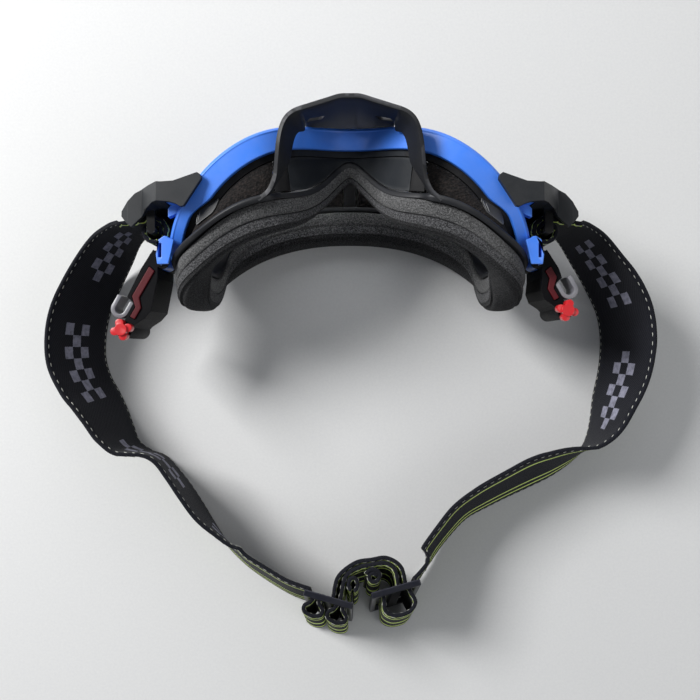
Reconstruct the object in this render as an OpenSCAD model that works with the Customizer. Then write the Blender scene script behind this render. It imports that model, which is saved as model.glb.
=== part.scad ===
// Motocross goggles, standing upside down on the brow edge, chin side up
// +Y is the way the wearer looks, +X is to the right in plan, +Z is the chin side

/* [Front frame] */
// Half width of the front's curve at the temples
wrap_half_w = 91.5; // [89:0.5:94]
// How much deeper the front's curve is than the face's curve
front_room = 40; // [38:0.5:42]
// How square the front's curve is, 2 is an ellipse
wrap_power = 2.2; // [2.1:0.05:2.4]
// How far the front's widest place lies ahead of the strap's middle
wrap_ahead = 17.6; // [16:0.2:19]
// Height from the brow edge to the cheeks
frame_h = 98; // [94:1:102]
// Lean of the front, in mm back for each mm up
rake = 0.04; // [0.02:0.01:0.05]
// How far the nose notch cuts into the height
notch_depth = 30; // [26:1:33]
// Half width of the nose notch as an angle of the front's curve
notch_angle = 17; // [15:0.5:19]
// Depth of the bezel behind the lens
bezel_back = 8.5; // [7.5:0.5:10]
// How far the bezel stands in front of the lens
bezel_front = 2.5; // [2:0.25:3]
// Width of the bezel's lip over the edge of the lens
bezel_lip = 8; // [6:0.5:9]
// Wall of the bezel
bezel_wall = 3.5; // [3:0.25:4]
// Thickness of the lens
lens_t = 1.2; // [1:0.1:1.6]
// Thickness of the ribs and panels behind the bezel
rib_t = 2.4; // [2:0.2:3]

/* [Face side] */
// Half width of the curve that meets the face
face_half_w = 80; // [77:0.5:80.5]
// Depth of the curve that meets the face
face_depth = 51; // [49:0.5:53]
// How far the face's widest place lies ahead of the strap's middle
face_ahead = 10; // [9:0.2:11]
// How far the foam steps forward over the nose
nose_forward = 27; // [25:0.5:27.5]
// Thickness of the whole face foam
foam_t = 17; // [15:0.5:18]
// Width of the face foam's base
foam_w = 14; // [12:0.5:15]
// Thickness of the flange that carries the foam
flange_t = 2.5; // [2:0.25:3]

/* [Nose guard] */
// Half width of the nose guard
guard_half_w = 35; // [33:0.5:37]
// How far the nose guard stands out from the lens
guard_out = 9; // [8:0.5:11]
// Wall of the nose guard
guard_wall = 2.4; // [2.2:0.2:3]
// Height of the nose guard above the cheeks
guard_rise = 7; // [5:0.5:9]

/* [Outriggers] */
// Height of an outrigger
outrigger_h = 58; // [56:0.5:60]
// Wall of an outrigger
outrigger_wall = 3; // [2.5:0.25:3.5]
// Diameter of an outrigger's pivot pin
pivot_d = 4; // [3:0.5:5]

/* [Side arms] */
// Height of a side arm
arm_h = 34; // [30:1:38]
// Reach of the left arm from its pin to its knob
arm_reach_left = 39; // [37:0.5:41]
// Reach of the right arm from its pin to its knob
arm_reach_right = 28; // [27:0.5:30]
// Diameter of an arm's hinge pin
arm_pin_d = 3; // [2.5:0.5:3.5]
// Diameter of a knob's shaft
knob_shaft_d = 3; // [2.5:0.5:3.5]

/* [Strap] */
// Width of the strap
strap_w = 50; // [48:0.5:50]
// Thickness of the strap
strap_t = 2; // [1.6:0.1:2.2]
// Height of a strap slider
slider_h = 56.5; // [56.5:0.5:58]
// Thickness of a strap slider
slider_t = 3.2; // [2.8:0.2:3.6]

/* [Fits] */
// Running clearance of a pin in its bore, on the radius
pin_clear = 0.08; // [0.05:0.01:0.1]
// Gap between pieces that lie against each other
seat_gap = 0.3; // [0.25:0.05:0.4]

/* [Hidden] */

blue = [0.16, 0.40, 0.95];
black = [0.12, 0.12, 0.14];
charcoal = [0.22, 0.22, 0.24];
foam_grey = [0.38, 0.38, 0.40];
red = [0.86, 0.15, 0.17];

// Place of the strap's middle, so that the origin is below the middle of the whole
loop_y = 24.6;
wrap_depth = face_depth + front_room;
wrap_y = loop_y + wrap_ahead;
face_y = loop_y + face_ahead;
bezel_out = 2;
temple_thin = 4.5;
thin_from = 50;
thin_over = 11;
stations = 96;
z_mid = frame_h / 2;
z_half = z_mid - bezel_out;
wrap_power_half = 2 / wrap_power;
temple_angle = 76;
corner_power = 3;
// Angle of the front's curve that one millimetre takes up
deg_per_mm = temple_angle / (1.31 * wrap_half_w);

function smooth(u) = let(v = min(1, max(0, u))) v * v * (3 - 2 * v);
function signed_power(v, p) = sign(v) * pow(abs(v), p);
function unit(v) = v / norm(v);
function bump(v, width) = exp(-pow(v / width, 2));

// A point in plan on a wrapped curve, at an angle from its middle
function curve_point(a, half_w, depth, y0) =
    [half_w * signed_power(sin(a), wrap_power_half), y0 + depth * pow(abs(cos(a)), wrap_power_half)];
function front_point(a, w) =
    let(t = curve_point(a + 1, wrap_half_w, wrap_depth, wrap_y)
          - curve_point(a - 1, wrap_half_w, wrap_depth, wrap_y),
        n = unit([-t.y, t.x]))
    curve_point(a, wrap_half_w, wrap_depth, wrap_y) + w * n;

// The outline of the frame seen from the front, with its corners rounded by a power curve
function turn(t) = t + 12 * sin(2 * t);
function reach(t) = 1 / pow(pow(abs(cos(turn(t))), corner_power) + pow(abs(sin(turn(t))), corner_power),
                            1 / corner_power);
function out_a(t) = temple_angle * cos(turn(t)) * reach(t);
function out_z(t) = z_half * sin(turn(t)) * reach(t);
function is_chin(t) = sin(t) > 0 ? 1 : 0;
function notch(a) = notch_depth * bump(a, notch_angle);
function inward(t) =
    let(ca = signed_power(cos(turn(t)) * reach(t), corner_power - 1) * deg_per_mm / temple_angle,
        cz = signed_power(sin(turn(t)) * reach(t), corner_power - 1) / z_half)
    unit([ca, cz]);

// A point of the front, q in from the outline along the front, w out from the lens
function front_at(t, q, w) =
    let(n = inward(t),
        a = out_a(t) - q * n.x * deg_per_mm,
        z = z_mid + out_z(t) - q * n.y - is_chin(t) * notch(a),
        p = front_point(a, w))
    [p.x, p.y + rake * (frame_h - z), z];

// The line where the foam meets the face
face_angle = 78;
face_inset = 9.4;
face_notch = 33;
nose_width = 17;
function nose_at(t) = is_chin(t) * bump(out_a(t), 20);
function face_line(t) =
    let(a = out_a(t) * face_angle / temple_angle,
        p = curve_point(a, face_half_w, face_depth, face_y))
    [p.x, p.y + is_chin(t) * nose_forward * bump(p.x, nose_width),
     z_mid + out_z(t) * (z_half - face_inset) / z_half - is_chin(t) * face_notch * bump(p.x, 24)];

// The bezel is thinner behind the outriggers
function back_here(t) = bezel_back - temple_thin * smooth((abs(out_a(t)) - thin_from) / thin_over);
function hoop_back(t) = back_here(t) + 3;

// A point behind the bezel, s forward from the face line and o out from the ring
frame_back_q = 2;
function to_face(t) = unit(face_line(t) - front_at(t, frame_back_q, -bezel_back - 1));
function ring_out(t) = unit(cross(face_line(t + 1) - face_line(t - 1), to_face(t)));
function behind(t, s, o) = face_line(t) - s * to_face(t) + o * ring_out(t);
foam_gap = 1.3;
nose_thin = 8.1;
function foam_here(t) = foam_t - nose_thin * nose_at(t);
function foam_width_here(t) = foam_w * (1 - 0.3 * nose_at(t));

// A solid through rows of points, each row a closed outline with as many points as the next
module loft(rows, closed) {
    m = len(rows[0]);
    n = len(rows);
    sides = [for (i = [0 : (closed ? n : n - 1) - 1], j = [0 : m - 1])
        let(a = i * m + j, b = i * m + (j + 1) % m,
            c = ((i + 1) % n) * m + (j + 1) % m, d = ((i + 1) % n) * m + j)
        each [[a, b, c], [a, c, d]]];
    last = (n - 1) * m;
    caps = closed ? [] : [for (j = [0 : m / 2 - 2]) let(k = m - 1 - j)
        each [[j, k, k - 1], [j, k - 1, j + 1],
              [last + j, last + k - 1, last + k], [last + j, last + j + 1, last + k - 1]]];
    polyhedron([for (r = rows) each r], concat(sides, caps));
}

function ring_steps() = [for (i = [0 : stations - 1]) i * 360 / stations];
function part_steps(t0, t1, n) = [for (i = [0 : n]) t0 + (t1 - t0) * i / n];

// Front frame

module outer_frame() color(blue) {
    wall_in = bezel_wall - bezel_out;
    lip_back = lens_t / 2 + seat_gap;
    loft([for (t = ring_steps()) [
        front_at(t, -bezel_out, -back_here(t)), front_at(t, -bezel_out, bezel_front - 1),
        front_at(t, 1 - bezel_out, bezel_front),
        front_at(t, bezel_lip - 1, bezel_front), front_at(t, bezel_lip, lip_back),
        front_at(t, wall_in, lip_back), front_at(t, wall_in, -back_here(t))]], true);
}

lens_rim = bezel_wall - bezel_out + 0.4;
lens_columns = 48;
lens_top_a = temple_angle - lens_rim * deg_per_mm;
lens_half = z_half - lens_rim;
function lens_tall(a) = lens_half * pow(max(0, 1 - pow(abs(a) / lens_top_a, corner_power)), 1 / corner_power);
function lens_at(a, v, w) =
    let(z0 = z_mid - lens_tall(a),
        z1 = z_mid + lens_tall(a) - notch(a) * lens_tall(a) / lens_half,
        z = z0 + (z1 - z0) * v,
        p = front_point(a, w))
    [p.x, p.y + rake * (frame_h - z), z];
module lens() color([0.75, 0.82, 0.88, 0.5])
    loft([for (i = [0 : lens_columns])
        let(a = 0.97 * lens_top_a * (2 * i / lens_columns - 1))
        concat([for (k = [4 : -1 : 0]) lens_at(a, k / 4, -lens_t / 2)],
               [for (k = [0 : 4]) lens_at(a, k / 4, lens_t / 2)])], false);

// Inner frame

hoop_in = 5;
function hoop_row(t) = [
    front_at(t, frame_back_q, -hoop_back(t)), front_at(t, frame_back_q, -lens_t / 2 - seat_gap),
    front_at(t, bezel_lip, -lens_t / 2 - seat_gap), front_at(t, bezel_lip, -lens_t / 2 - seat_gap - 2),
    front_at(t, hoop_in, -lens_t / 2 - seat_gap - 2), front_at(t, hoop_in, -hoop_back(t))];
flange_bevel = 1.4;
flange_gap = 1.5;
function flange_row(t) = let(w = foam_width_here(t) / 2, f = foam_here(t) + flange_gap) [
    behind(t, f, w - 0.1), behind(t, f + flange_t, w - flange_bevel),
    behind(t, f + flange_t, -w), behind(t, f, -w)];
// A wall from the flange to the hoop, seated clear of both
function wall_row(t) =
    let(f = foam_here(t) + flange_gap + flange_t + 2 * seat_gap,
        back = behind(t, f, foam_width_here(t) / 2 - 1.5),
        front = front_at(t, frame_back_q + seat_gap, -hoop_back(t) - seat_gap),
        inset = rib_t * ring_out(t),
        wall = unit(back - front),
        ahead = unit(front_at(t, frame_back_q, 1) - front_at(t, frame_back_q, 0)),
        slip = max(0, -(inset * ahead)) / max(0.3, -(wall * ahead)))
    [back, front, front - inset + slip * wall, back - inset];

rib_places = [0, 24, 64, 116, 156, 180, 216, 270, 324];
rib_half = 2.2;
module inner_frame() color(black) loft([for (t = ring_steps()) hoop_row(t)], true);
module face_flange() color(black) loft([for (t = ring_steps()) flange_row(t)], true);
module frame_ribs() color(black) {
    for (p = rib_places)
        loft([for (t = part_steps(p - rib_half, p + rib_half, 3)) wall_row(t)], false);
}

module wall_panel(t0, t1, n) {
    loft([for (t = part_steps(t0, t1, n)) wall_row(t)], false);
}
panel_gap = rib_half + 0.6;
module nose_plate() color([0.28, 0.28, 0.30])
    wall_panel(64 + panel_gap, 116 - panel_gap, 20);
module vent_foam_cheek_right() color(charcoal) wall_panel(24 + panel_gap, 64 - panel_gap, 14);
module vent_foam_cheek_left() color(charcoal) wall_panel(116 + panel_gap, 156 - panel_gap, 14);
module vent_foam_brow_left() color(charcoal) wall_panel(216 + panel_gap, 270 - panel_gap, 14);
module vent_foam_brow_right() color(charcoal) wall_panel(270 + panel_gap, 324 - panel_gap, 14);

// Face foam, in three layers of the same ring

module foam_layer(near, far, near_w, far_w) {
    loft([for (t = ring_steps())
        let(k = foam_here(t) / foam_t,
            wn = foam_width_here(t) / 2 * near_w, wf = foam_width_here(t) / 2 * far_w,
            n = near * k, f = far * k, b = min(1.6, (far - near) * k / 3))
        [behind(t, n, wn - b), behind(t, n + b, wn), behind(t, f, wf), behind(t, f, -wf),
         behind(t, n + b, -wn), behind(t, n, -wn + b), behind(t, n - (near == 0 ? 0.8 : 0), 0)]], true);
}
fleece_t = 4.5;
middle_t = 5;
module foam_fleece() color([0.17, 0.17, 0.18]) foam_layer(0.8, fleece_t, 0.86, 0.96);
module foam_middle() color(charcoal) foam_layer(fleece_t + foam_gap, fleece_t + middle_t, 0.98, 1.02);
module foam_base() color(foam_grey) foam_layer(fleece_t + middle_t + foam_gap, foam_t, 1.04, 1);

// Nose guard

// A smooth curve through points, with n steps between each pair
function curve_at(p, i, u) =
    let(a = p[max(0, i - 1)], b = p[i], c = p[i + 1], d = p[min(len(p) - 1, i + 2)])
    0.5 * (2 * b + (c - a) * u + (2 * a - 5 * b + 4 * c - d) * u * u + (3 * b - a - 3 * c + d) * u * u * u);
function curve(p, n) = [
    for (i = [0 : len(p) - 2], k = [0 : n - 1]) curve_at(p, i, k / n),
    p[len(p) - 1]];
function mirrored(p) = [for (i = [len(p) - 1 : -1 : 0]) [-p[i].x, p[i].y]];
// The unit vector to the left of a path in plan
function left_of(p, i) =
    let(d = p[min(len(p) - 1, i + 1)] - p[max(0, i - 1)]) unit([-d.y, d.x]);

guard_front = wrap_y + wrap_depth + guard_out;
guard_top = frame_h + guard_rise;
guard_low = frame_h - 51;
guard_leg = frame_h - 3;
guard_over = 1.5;
// The guard goes down in front of the lens, and beside that just clears the frame's edge
function guard_low_at(x) =
    let(edge = frame_h - notch(asin(pow(x / wrap_half_w, wrap_power / 2))) + guard_over,
        side = edge + (guard_leg - edge) * smooth((x - 34) / 2))
    guard_low + (side - guard_low) * smooth((x - 20) / 3.5);
guard_half = [[0, 0], [5, -0.2], [11, -2], [20, -4.8], [26, -6.8], [30, -10], [32.5, -15],
    [34, -22], [35, -30], [36, -37], [38.8, -43], [43.5, -47]];
guard_right = [for (p = guard_half) [p.x * guard_half_w / 35, guard_front + p.y]];
guard_path = curve(concat(mirrored([for (i = [1 : len(guard_right) - 1]) guard_right[i]]), guard_right), 4);
guard_slot_x = 17;
guard_slot_w = 8.5;
guard_slot_h = 4.5;
guard_slot_turn = 14;
module nose_guard() color(black) difference() {
    loft([for (i = [0 : len(guard_path) - 1])
        let(p = guard_path[i], n = left_of(guard_path, i),
            low = guard_low_at(abs(p.x)),
            top = guard_top - 6 * smooth((guard_front - 18 - p.y) / 26),
            q = p - guard_wall * n)
        [[p.x, p.y + rake * (guard_top - low), low], [p.x, p.y, top - 0.8],
         [p.x - 0.8 * n.x, p.y - 0.8 * n.y, top], [q.x + 0.8 * n.x, q.y + 0.8 * n.y, top],
         [q.x, q.y, top - 0.8], [q.x, q.y + rake * (guard_top - low), low]]], false);
    for (side = [-1, 1])
        translate([side * guard_slot_x, guard_front - 16, frame_h - 14])
            rotate([0, side * guard_slot_turn, 0]) translate([-guard_slot_w / 2, 0, -guard_slot_h / 2])
                cube([guard_slot_w, 20, guard_slot_h]);
}

// Outriggers, drawn for the right side

outrigger_angle = 53.5;
root = front_point(outrigger_angle, bezel_front) + [0, rake * frame_h];
outrigger_plan = [[-7.2, 0.8], [-6.9, 2.6], [-5.3, 3.7], [0.5, 1.6], [6, -0.3], [12, -0.7], [20, -0.3],
    [25.8, -0.4], [29.5, -2.4], [33, -6.2], [36.7, -10.8], [36.8, -13.2], [34.5, -16], [31.3, -18.9],
    [27.8, -15.5], [22, -10.9], [17.5, -9.4], [14, -9.6], [8, -10], [5, -10.9], [2.6, -12.3], [1, -11.9]];
outrigger_half = outrigger_h / 2;
outrigger_z = z_mid - outrigger_half;
// The fork's plates lie over and under the edges of the frame
root_half = z_mid - 0.5;
fork_plate = 3.3;
fork_half = root_half - fork_plate;
// The outrigger seen from the side, as half heights from the root outwards
outrigger_profile = [[-12, root_half], [14, root_half], [26, outrigger_half], [33, outrigger_half],
    [40, outrigger_half - 5]];
// What the fork leaves free beside the frame, in plan
fork_free = [[-14, -24], [-14, 12], [-7, 9], [-3, 5.2], [3.4, -2.6], [7.6, -9.4], [10, -13.7], [14, -24]];
pivot = root + [8.8, -5.5];
pin_skin = 1.5;
bar = root + [21.5, -20];
bar_d = 4.4;
knuckle_r = 4.2;
knuckle_room = 0.5;
lug_low = 32;
bracket_t = 5;
pocket_from = 13;
module outrigger_outline() translate(root) polygon(outrigger_plan);
module outrigger_side()
    translate([root.x, root.y + 20, z_mid]) rotate([90, 0, 0]) linear_extrude(50)
        polygon(concat(outrigger_profile, [for (i = [len(outrigger_profile) - 1 : -1 : 0])
            [outrigger_profile[i].x, -outrigger_profile[i].y]]));
// Both ends of the pivot alike, drawn for the upper one from the middle height
module both_ends() translate([0, 0, z_mid]) {
    children();
    mirror([0, 0, 1]) children();
}
module right_outrigger() {
    lug = 3;
    difference() {
        union() {
            intersection() {
                translate([0, 0, z_mid - root_half]) linear_extrude(2 * root_half) outrigger_outline();
                outrigger_side();
            }
            both_ends() translate([bar.x, bar.y, outrigger_half - lug]) linear_extrude(lug)
                polygon([[-2, -1], [2, -1], [2, 12], [-2, 12]]);
            translate([bar.x, bar.y, outrigger_z]) cylinder(d = bar_d, h = outrigger_h, $fn = 32);
        }
        translate([root.x, root.y, z_mid - fork_half]) linear_extrude(2 * fork_half) polygon(fork_free);
        both_ends() {
            translate([pivot.x, pivot.y, fork_half - 1])
                cylinder(d = pivot_d + 2 * pin_clear, h = 1 + fork_plate - pin_skin, $fn = 32);
            translate([0, 0, lug_low - seat_gap]) linear_extrude(fork_half - lug_low + seat_gap) {
                translate(pivot) circle(r = knuckle_r + knuckle_room, $fn = 40);
                translate([root.x - 14, root.y - 20]) square([pivot.x - root.x + 14, 40]);
            }
        }
        intersection() {
            translate([1, -outrigger_wall - 1, outrigger_z + outrigger_wall])
                linear_extrude(outrigger_h - 2 * outrigger_wall) outrigger_outline();
            translate([root.x + pocket_from, root.y - 30, 0]) cube([40, 60, frame_h]);
        }
    }
}
// Two blue lugs on the frame, each with a boss that reaches to the fork's plate and a tab behind it
module right_bracket()
    for (top = [-1, 1]) {
        z = top > 0 ? z_mid + lug_low : z_mid - lug_low - bracket_t;
        lean = rake * (frame_h - z);
        seat = [for (a = [49.5 : 2 : 61.5]) front_point(a, bezel_front + seat_gap) + [0, lean]];
        difference() {
            union() {
                translate([0, 0, z]) linear_extrude(bracket_t)
                    polygon(concat(seat, [root + [11, -15.5], root + [11, -11.3],
                        pivot + [0.5, 0.3 - knuckle_r], pivot + [-1, knuckle_r - 0.4]]));
                translate([pivot.x, pivot.y, top > 0 ? z : z_mid - fork_half + seat_gap])
                    cylinder(r = knuckle_r, h = fork_half - seat_gap - lug_low, $fn = 40);
            }
            translate([pivot.x, pivot.y, z_mid + (top > 0 ? lug_low : -fork_half) - 1])
                cylinder(d = pivot_d, h = fork_half - lug_low + 2, $fn = 32);
        }
    }
// Two short pins, pressed into the lugs, that the fork springs over
module right_pivot_pin() both_ends() translate([pivot.x, pivot.y, lug_low])
    cylinder(d = pivot_d, h = root_half - pin_skin - seat_gap - lug_low, $fn = 32);
module outrigger_right() color(black) right_outrigger();
module outrigger_left() color(black) mirror([1, 0, 0]) right_outrigger();
module outrigger_bracket_right() color(blue) right_bracket();
module outrigger_bracket_left() color(blue) mirror([1, 0, 0]) right_bracket();
module outrigger_pin_right() color("silver") right_pivot_pin();
module outrigger_pin_left() color("silver") mirror([1, 0, 0]) right_pivot_pin();

// Side arms behind the temples, drawn for the right side along their own X

arm_pin = front_point(73, bezel_front) + [6.2, -5 + rake * (frame_h - arm_h)];
arm_swing = -60;
arm_z = 40;
arm_gap = 0.3;
eye_r = 4.2;
boss_v = 3.4;
arm_lug_z = 10;
arm_lug_h = 14;
arm_slot_r = eye_r + 0.6;
module arm_place() translate([arm_pin.x, arm_pin.y, arm_z]) rotate(arm_swing) mirror([0, 1, 0]) children();
function arm_plan(r) = [[-3, -4], [8, -4.5], [r - 15, -3.5], [r - 14, 1.3], [r - 2, 1.3], [r - 1, 6],
    [r - 5, 7], [r - 10, 9.5], [r - 15, min(10.5, 1.5 + 0.55 * (r - 15))], [8, 5], [2, 1.6], [-3, 1]];
strip_h = 22;
knob_bore = 20;
// The slot that runs along an arm and round its hook, or the strip in it, g smaller all round
function slot_plan(r, g) = [[4.9 + g, -1.6 + g], [r - 16.5 - g / 2, -1.6 + g],
    [r - 12.5 - g / 2, 2.6 + g], [r - 7 - g, 2.6 + g], [r - 7 - g, 5.8 - g],
    [r - 14 + g / 2, 5.8 - g], [r - 18 + g / 2, 2.4 - g], [5.6 + g, 2.4 - g]];
module right_arm(r) arm_place() difference() {
    union() {
        linear_extrude(arm_h) polygon(arm_plan(r));
        cylinder(r = eye_r, h = arm_h, $fn = 40);
        translate([r, boss_v, 0]) cylinder(r = eye_r, h = arm_h, $fn = 40);
    }
    translate([0, 0, -1]) cylinder(d = arm_pin_d + 2 * pin_clear, h = 1 + arm_h - pin_skin, $fn = 32);
    translate([0, 0, arm_lug_z - arm_gap]) linear_extrude(arm_lug_h + 2 * arm_gap) {
        circle(r = arm_slot_r, $fn = 40);
        translate([-8, -12]) square([8, 24]);
    }
    translate([r, boss_v, arm_h - knob_bore])
        cylinder(d = knob_shaft_d + 2 * pin_clear, h = knob_bore + 1, $fn = 32);
    translate([0, 0, arm_h - strip_h - 1]) linear_extrude(strip_h + 2)
        polygon(slot_plan(r, 0));
}
module right_strip(r) arm_place() translate([0, 0, arm_h - strip_h - 1 + arm_gap])
    linear_extrude(strip_h + 1.5) polygon(slot_plan(r, arm_gap));
hook_r = 4.6;
hook_wall = 2.2;
hook_leg = 6;
hook_h = 14;
module right_hook(r) arm_place() translate([r - 8, 1.3 - arm_gap - hook_r, arm_h - hook_h])
    linear_extrude(hook_h) difference() {
        union() {
            circle(r = hook_r, $fn = 40);
            translate([-hook_leg, -hook_r]) square([hook_leg, 2 * hook_r]);
        }
        circle(r = hook_r - hook_wall, $fn = 32);
        translate([-hook_leg - 1, hook_wall - hook_r]) square([hook_leg + 1, 2 * (hook_r - hook_wall)]);
    }
knob_h = 5.5;
knob_r = 3;
knob_reach = 3.4;
knob_lobe_r = 2;
knob_shaft_l = 18;
module right_knob(r) arm_place() translate([r, boss_v, 0]) {
    translate([0, 0, arm_h + arm_gap]) {
        cylinder(r = knob_r, h = knob_h, $fn = 40);
        for (k = [0 : 3])
            rotate(45 + 90 * k) translate([knob_reach, 0, 0])
                cylinder(r = knob_lobe_r, h = knob_h - 1, $fn = 32);
    }
    translate([0, 0, arm_h - knob_shaft_l])
        cylinder(d = knob_shaft_d, h = knob_shaft_l + arm_gap + 1, $fn = 32);
}
// The lug that carries the arm
module right_arm_lug() {
    z = arm_z + arm_lug_z;
    seat = [for (a = [64 : 2 : 74]) front_point(a, bezel_front + seat_gap) + [0, rake * (frame_h - z)]];
    difference() {
        translate([0, 0, z]) linear_extrude(arm_lug_h) {
            translate(arm_pin) circle(r = eye_r, $fn = 40);
            polygon(concat(seat, [arm_pin + [0.2, 0.3 - eye_r], arm_pin + [3.4, 1]]));
        }
        translate([arm_pin.x, arm_pin.y, z - 1]) cylinder(d = arm_pin_d, h = arm_lug_h + 2, $fn = 32);
    }
}
// A clip above the arm, with a cap that reaches over the frame's edge and a pocket in its top
clip_z = arm_z + arm_h + 2.5;
clip_h = 8.7;
cap_t = 2.3;
clip_outside = [[-2.9, -3.8], [-2.3, 0.8], [-3.5, 7.8], [-6.1, 9.8]];
clip_inside = [[-10.9, 8], [-9.6, 2], [-8.2, -3.7]];
module right_clip() {
    lean = rake * (frame_h - clip_z);
    seat = [for (a = [69 : 1.5 : 75]) front_point(a, bezel_front + seat_gap) + [0, lean]];
    outside = [for (p = clip_outside) arm_pin + p];
    difference() {
        union() {
            translate([0, 0, clip_z]) linear_extrude(clip_h) polygon(concat(seat, outside));
            translate([0, 0, clip_z + clip_h - cap_t]) linear_extrude(cap_t)
                polygon(concat([for (p = clip_inside) arm_pin + p], outside));
        }
        translate([arm_pin.x - 5, arm_pin.y - 0.6, clip_z + 2]) cube([1.7, 7, clip_h]);
    }
}
module right_arm_bracket() {
    right_arm_lug();
    right_clip();
}
// The arm's pin goes in from below and ends under the arm's closed top
module right_arm_pin() translate([arm_pin.x, arm_pin.y, arm_z + arm_gap])
    cylinder(d = arm_pin_d, h = arm_h - pin_skin - 2 * arm_gap, $fn = 32);

module side_arm_right() color(black) right_arm(arm_reach_right);
module side_arm_left() color(black) mirror([1, 0, 0]) right_arm(arm_reach_left);
module arm_bracket_right() color(blue) right_arm_bracket();
module arm_bracket_left() color(blue) mirror([1, 0, 0]) right_arm_bracket();
module arm_pin_right() color("silver") right_arm_pin();
module arm_pin_left() color("silver") mirror([1, 0, 0]) right_arm_pin();
module hook_clip_right() color([0.43, 0.43, 0.46]) right_hook(arm_reach_right);
module hook_clip_left() color([0.43, 0.43, 0.46]) mirror([1, 0, 0]) right_hook(arm_reach_left);
module liner_strip_right() color([0.36, 0.1, 0.13]) right_strip(arm_reach_right);
module liner_strip_left() color([0.36, 0.1, 0.13]) mirror([1, 0, 0]) right_strip(arm_reach_left);
module red_knob_right() color(red) right_knob(arm_reach_right);
module red_knob_left() color(red) mirror([1, 0, 0]) right_knob(arm_reach_left);

// Tabs on the cheek panels

function panel_point(t, u, h) = let(r = wall_row(t)) r[0] + u * (r[1] - r[0]) + h * ring_out(t);
tab_t = 1.6;
tab_lift = 0.6;
tab_from = 33;
tab_span = 7;
module side_tabs() color(foam_grey)
    for (t0 = [tab_from, 180 - tab_from - tab_span])
        loft([for (t = part_steps(t0, t0 + tab_span, 4)) [
            panel_point(t, 0.45, tab_lift), panel_point(t, 0.95, tab_lift),
            panel_point(t, 0.92, tab_lift + tab_t), panel_point(t, 0.48, tab_lift + tab_t)]], false);

// Strap

// A band between a low and a high edge, each a list of points
function band_rows(low, high, thick) = [for (i = [0 : len(low) - 1])
    let(j = min(len(low) - 1, i + 1), k = max(0, i - 1),
        n = unit(cross(low[j] + high[j] - low[k] - high[k], high[i] - low[i])) * thick / 2)
    [low[i] + n, high[i] + n, high[i] - n, low[i] - n]];
// Stations are x, y, height of the low edge and lean outwards in degrees
function edge_z(q) = max(0, q[2]) + strap_t / 2 * abs(sin(q[3]));
function run_low(p) = [for (q = p) [q[0], q[1] + loop_y, edge_z(q)]];
// The way a run leans outwards, straight back near the sliders
function lean_way(p, i, side) =
    let(w = smooth((-lean_turn_y - p[i][1]) / lean_blend))
    unit((1 - w) * side * left_of([for (q = p) [q[0], q[1]]], i) + w * [0, -1]);
function run_high(p, side) = [for (i = [0 : len(p) - 1])
    let(n = lean_way(p, i, side), q = p[i])
    [q[0] + n.x * strap_w * sin(q[3]), q[1] + loop_y + n.y * strap_w * sin(q[3]),
     edge_z(q) + strap_w * cos(q[3])]];
module strap_run(p, side) let(c = curve(p, 3)) loft(band_rows(run_low(c), run_high(c, side), strap_t), false);

lean_turn_y = 112;
lean_blend = 24;
rear_tilt = 26;
rear_rise = strap_w * cos(rear_tilt);
rear_lean = strap_w * sin(rear_tilt);
slider_end = 2.2;
rear_base = slider_end + 0.4;
rear_z = rear_base + strap_t / 2 * sin(rear_tilt);
slider_left_at = [-11.5, -155.5];
slider_right_at = [24.5, -150];
slider_turn = 16;
slider_w = 27;
slot_w = 7.6;
slot_u = 6.6;
// A point in plan by a slider, u along it and v in front of it
function by_slider(c, turn, u, v) = c + [u * cos(turn) - v * sin(turn), u * sin(turn) + v * cos(turn)];
function left_slider(u, v) = by_slider(slider_left_at, -slider_turn, u, v);
function right_slider(u, v) = by_slider(slider_right_at, slider_turn, u, v);
function station(p, z, lean) = [p.x, p.y, z, lean];
front_v = slider_t / 2 + strap_t / 2 + 0.6;

left_run = [[-116.2, 63.3, 23.4, 1], [-121, 60, 17, 5], [-127.5, 52.5, 7, 12],
    [-134.7, 41.3, 1, 16], [-140.7, 28.7, 0, 18], [-144.3, 18, 0, 19.5], [-146, 7, 0, 20], [-146, -5, 0, 19],
    [-143, -16, 0, 16], [-138.3, -24.6, 0, 14], [-133.5, -35, 0, 11], [-129.5, -46, 0, 7], [-126, -55, 0, 0],
    [-118.5, -60.5, 0, -6], [-110, -64, 0, -8], [-102.4, -72, 0, -7], [-95, -81.5, 0, -6],
    [-87.5, -93, 0, -7], [-81, -104, 0, -12], [-73, -116, 0, -18], [-62, -127, 0.6, -23],
    [-50, -135.5, 1.8, -26],
    station(left_slider(-25, front_v + 1), rear_base, -rear_tilt),
    station(left_slider(-11, front_v), rear_base, -rear_tilt)];
right_run = [[116.2, 63.3, 23.4, 1], [121, 60.5, 17, 4], [128, 54, 8, 9], [136, 44, 2, 12],
    [142, 34, 0, 15], [147.5, 21.5, 0, 16], [149.7, 9, 0, 16], [149.7, -2, 0, 15], [148.3, -14, 0, 13],
    [145.5, -27.5, 0, 9], [144, -41, 0, 2], [142, -51, 0, -6], [138, -59.5, 0, -14], [130, -67.5, 0, -22],
    [119, -75, 0, -27], [107, -81, 0, -29], [94, -87, 0, -28], [80, -94, 0, -27], [70, -99.5, 0, -25],
    [62, -107, 0.3, -23], [53.5, -117, 1, -22], [46.5, -127, 2, -23], [38, -139, rear_base, -25],
    station(right_slider(11, front_v), rear_base, -rear_tilt)];
module strap_left() color([0.07, 0.07, 0.09]) strap_run(left_run, -1);
module strap_right() color([0.07, 0.07, 0.09]) strap_run(right_run, 1);

// The bands at the back of the loop all lean forwards alike
module rear_band(path, n) let(c = curve(path, n))
    loft(band_rows([for (q = c) [q.x, q.y + loop_y, rear_z]],
                   [for (q = c) [q.x, q.y + loop_y + rear_lean, rear_z + rear_rise]], strap_t), false);
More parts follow.
